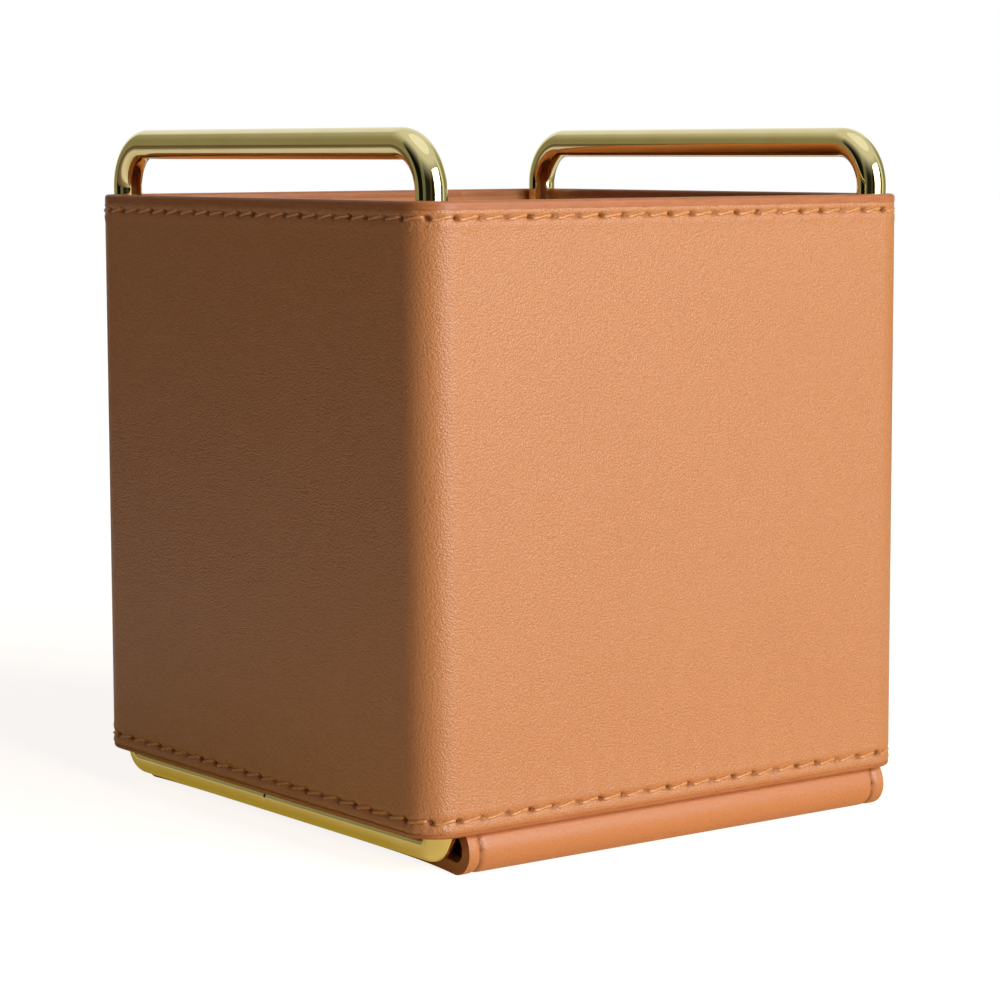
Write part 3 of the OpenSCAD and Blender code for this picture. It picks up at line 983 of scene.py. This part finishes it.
def makeFloorLining():
    low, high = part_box("floor_lining")
    notchX, notchY = floorLining["notchX"], floorLining["notchY"]
    clearSelection()
    bpy.ops.mesh.primitive_plane_add(size=2 * high.x, location=(0, 0, low.z))
    piece = bpy.context.object
    applyPlace()
    for vertex in piece.data.vertices:
        vertex.co.y = math.copysign(high.y, vertex.co.y)
    for place, way in (((notchX, 0, 0), (1, 0, 0)), ((-notchX, 0, 0), (1, 0, 0)),
                       ((0, notchY, 0), (0, 1, 0)), ((0, -notchY, 0), (0, 1, 0))):
        pick(piece, "FACE", lambda f: True)
        bpy.ops.mesh.bisect(plane_co=place, plane_no=way)
        bpy.ops.object.mode_set(mode="OBJECT")
    pick(piece, "FACE", lambda f: abs(f.center.x) > notchX and abs(f.center.y) > notchY)
    bpy.ops.mesh.delete(type="FACE")
    bpy.ops.object.mode_set(mode="OBJECT")
    pick(piece, "FACE", lambda f: True)
    bpy.ops.mesh.subdivide(number_cuts=floorLining["cuts"])
    bpy.ops.mesh.extrude_region_move(TRANSFORM_OT_translate={"value": (0, 0, high.z - low.z)})
    bpy.ops.object.mode_set(mode="OBJECT")
    applyModifier(piece, "BEVEL", width=floorLining["edgeRound"], segments=3, limit_method="ANGLE",
                  angle_limit=math.radians(60))
    closeAndSmooth(piece, 45)
    finishPiece(piece, "floorSuede", "floor_lining", suede, "floor_lining")


makeFloorLining()


# CAD nodes that keep their shape: the boards, which the leather hides
for node in ("front_board", "back_board", "left_board", "right_board", "floor_board"):
    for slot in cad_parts[node].material_slots:
        slot.material = greyBoard
print("boards finished")


# Floor, lamp, room and camera, in metres
studio = {
    "floorSize": 8.0,
    "floorLift": 0.86,         # how much white the camera sees in the floor near the object
    "liftStart": 0.1,          # from here outwards it turns whiter
    "liftEnd": 0.7,            # and here it is all white
    "glossGlowEnd": 0.42,         # the floor's painted glow in gloss ends here, so it reflects dark beyond
    "keyPower": 12.5,
    "keyPlace": (0.209, -1.029, 0.42),
    "keySize": (0.87, 0.85),
    "keyAim": (0, 0, 0.05),
    "ambient": 0.078,
    "roomRadius": 1.5,
    "roomHeight": 3.4,
    "roomMiddle": 1.5,
    "roomSides": 96,
    "drapesFadeLow": 0.45,     # the drapes fade into the pale upper wall between these heights
    "drapesFadeHigh": 2.0,
}


def makeFloor():
    # White paper that fades into the white behind it; the lift is only seen by the camera and in gloss
    clearSelection()
    bpy.ops.mesh.primitive_plane_add(size=studio["floorSize"])
    floor = bpy.context.object
    floor.name = "studioFloor"
    paper = bpy.data.materials.new("WhitePaper")
    paper.use_nodes = True
    tree = paper.node_tree
    tree.nodes.clear()
    rays = addNode(tree, "ShaderNodeLightPath")
    matt = addNode(tree, "ShaderNodeBsdfDiffuse", Color=linear("#EFDFC6"))
    place = addNode(tree, "ShaderNodeTexCoord").outputs["Object"]
    away = addNode(tree, "ShaderNodeVectorMath", {"operation": "LENGTH"}, i0=place)
    fade = addNode(tree, "ShaderNodeMapRange", Value=away.outputs["Value"], From_Min=studio["liftStart"],
                   From_Max=studio["liftEnd"], To_Min=studio["floorLift"], To_Max=1.0)
    # Painted reflection: in gloss the floor glows, dim and warm beside the object as painted shade and
    # bounce light, pale grey further out, and not at all beyond the glow's end
    glossGlowStops = ((0.08, "#908130"), (0.2, "#B8B8B4"), (0.29, "#B8B8B4"), (studio["glossGlowEnd"], "#000000"))
    glossGlow = addNode(tree, "ShaderNodeValToRGB", {"stops": glossGlowStops}, Fac=away.outputs["Value"])
    colour = addNode(tree, "ShaderNodeMix", {"data_type": "RGBA"}, i0=rays.outputs["Is Camera Ray"],
                     i6=glossGlow.outputs["Color"], i7=(1, 1, 1, 1))
    lift = addNode(tree, "ShaderNodeMath", {"operation": "MULTIPLY_ADD"},
                   i0=rays.outputs["Is Camera Ray"], i1=fade.outputs[0], i2=rays.outputs["Is Glossy Ray"])
    glow = addNode(tree, "ShaderNodeEmission", Color=colour.outputs[2], Strength=lift.outputs[0])
    both = addNode(tree, "ShaderNodeAddShader", i0=matt.outputs[0], i1=glow.outputs[0])
    addNode(tree, "ShaderNodeOutputMaterial", Surface=both.outputs[0])
    floor.data.materials.append(paper)


def makeWorld():
    # White where it is seen, and a dim warm light on the object
    world = bpy.data.worlds.new("PaleStudio")
    bpy.context.scene.world = world
    world.use_nodes = True
    tree = world.node_tree
    tree.nodes.clear()
    rays = addNode(tree, "ShaderNodeLightPath")
    first = addNode(tree, "ShaderNodeMath", {"operation": "MAXIMUM"},
                    i0=rays.outputs["Is Camera Ray"], i1=rays.outputs["Is Glossy Ray"])
    seen = addNode(tree, "ShaderNodeMath", {"operation": "MAXIMUM"},
                   i0=first.outputs[0], i1=rays.outputs["Is Transmission Ray"])
    level = addNode(tree, "ShaderNodeMapRange", Value=seen.outputs[0], To_Min=studio["ambient"], To_Max=1.0)
    tint = addNode(tree, "ShaderNodeMix", {"data_type": "RGBA"}, i0=seen.outputs[0],
                   i6=linear("#FFDDBB"), i7=(1, 1, 1, 1))
    back = addNode(tree, "ShaderNodeBackground", Color=tint.outputs[2], Strength=level.outputs[0])
    addNode(tree, "ShaderNodeOutputWorld", Surface=back.outputs[0])


def makeKeyBox():
    lamp = bpy.data.lights.new("keyBox", "AREA")
    lamp.shape = "RECTANGLE"
    lamp.size, lamp.size_y = studio["keySize"]
    lamp.energy = studio["keyPower"]
    box = bpy.data.objects.new("keyBox", lamp)
    bpy.context.collection.objects.link(box)
    box.location = studio["keyPlace"]
    aim = Vector(studio["keyAim"]) - Vector(studio["keyPlace"])
    box.rotation_euler = aim.to_track_quat("-Z", "Y").to_euler()


# What hangs round the table, seen only in the polished metal and in the gloss of the leather:
# degrees anticlockwise from the right, and the colour there
roomDrapes = [
    (0, "#8F8F64"), (18, "#8F8F64"), (24, "#F2F2EE"), (88, "#F2F2EE"),
    (96, "#8E886A"), (138, "#8E886A"), (142, "#0E0E0A"), (174, "#0E0E0A"),
    (178, "#6E7058"), (195, "#6E7058"), (199, "#22221A"), (228, "#22221A"),
    (233, "#4A4A38"), (239, "#4A4A38"), (243, "#17170F"), (309, "#17170F"),
    (312, "#6A7048"), (320, "#6A7048"), (324, "#F2F2EE"), (334, "#F2F2EE"),
    (340, "#8F8F64"), (360, "#8F8F64"),
]


def makeRoom():
    clearSelection()
    bpy.ops.mesh.primitive_cylinder_add(vertices=studio["roomSides"], radius=studio["roomRadius"],
                                        depth=studio["roomHeight"], end_fill_type="NOTHING",
                                        location=(0, 0, studio["roomMiddle"]))
    room = bpy.context.object
    applyPlace()
    room.name = "dimRoom"
    cloth = bpy.data.materials.new("HungCloth")
    cloth.use_nodes = True
    tree = cloth.node_tree
    tree.nodes.clear()
    place = addNode(tree, "ShaderNodeTexCoord").outputs["Object"]
    axes = addNode(tree, "ShaderNodeSeparateXYZ", Vector=place)
    angle = addNode(tree, "ShaderNodeMath", {"operation": "ARCTAN2"},
                    i0=axes.outputs["Y"], i1=axes.outputs["X"])
    rounds = addNode(tree, "ShaderNodeMath", {"operation": "MULTIPLY"},
                     i0=angle.outputs[0], i1=0.5 / math.pi)
    share = addNode(tree, "ShaderNodeMath", {"operation": "FRACT"}, i0=rounds.outputs[0])
    stops = [(degrees / 360, hexColour) for degrees, hexColour in roomDrapes]
    drapes = addNode(tree, "ShaderNodeValToRGB", {"stops": stops}, Fac=share.outputs[0])
    height = addNode(tree, "ShaderNodeMapRange", {"interpolation_type": "SMOOTHSTEP"},
                     Value=axes.outputs["Z"], From_Min=studio["drapesFadeLow"],
                     From_Max=studio["drapesFadeHigh"])
    paler = addNode(tree, "ShaderNodeMix", {"data_type": "RGBA"}, i0=height.outputs[0],
                    i6=drapes.outputs["Color"], i7=linear("#DEDDD2"))
    glow = addNode(tree, "ShaderNodeEmission", Color=paler.outputs[2], Strength=1.0)
    addNode(tree, "ShaderNodeOutputMaterial", Surface=glow.outputs[0])
    room.data.materials.append(cloth)
    room.visible_camera = False
    room.visible_diffuse = False
    room.visible_shadow = False


# Solved from the band's corners and edges in the photograph
photoCamera = {
    "place": Vector((-300.22, -404.10, 106.71)) * mm,
    "yaw": math.radians(36.72),
    "pitch": math.radians(6.55),
    "roll": math.radians(-0.18),
    "focalPixels": 3082,
    "imagePixels": 1000,
    "sensor": 36,
}


def makeCamera():
    shot = photoCamera
    camera = bpy.data.cameras.new("photoCamera")
    camera.sensor_width = shot["sensor"]
    camera.lens = shot["focalPixels"] / shot["imagePixels"] * shot["sensor"]
    holder = bpy.data.objects.new("photoCamera", camera)
    bpy.context.collection.objects.link(holder)
    ahead = Vector((math.sin(shot["yaw"]) * math.cos(shot["pitch"]),
                    math.cos(shot["yaw"]) * math.cos(shot["pitch"]), -math.sin(shot["pitch"])))
    right = ahead.cross(Vector((0, 0, 1))).normalized()
    up = right.cross(ahead)
    level, tilt = math.cos(shot["roll"]), math.sin(shot["roll"])
    right, up = right * level + up * tilt, up * level - right * tilt
    facing = Matrix((right, up, -ahead)).transposed().to_4x4()
    holder.matrix_world = Matrix.Translation(shot["place"]) @ facing
    bpy.context.scene.camera = holder


makeFloor()
makeWorld()
makeRoom()
makeKeyBox()
makeCamera()
bpy.context.scene.view_settings.view_transform = "Standard"
print("stage set")
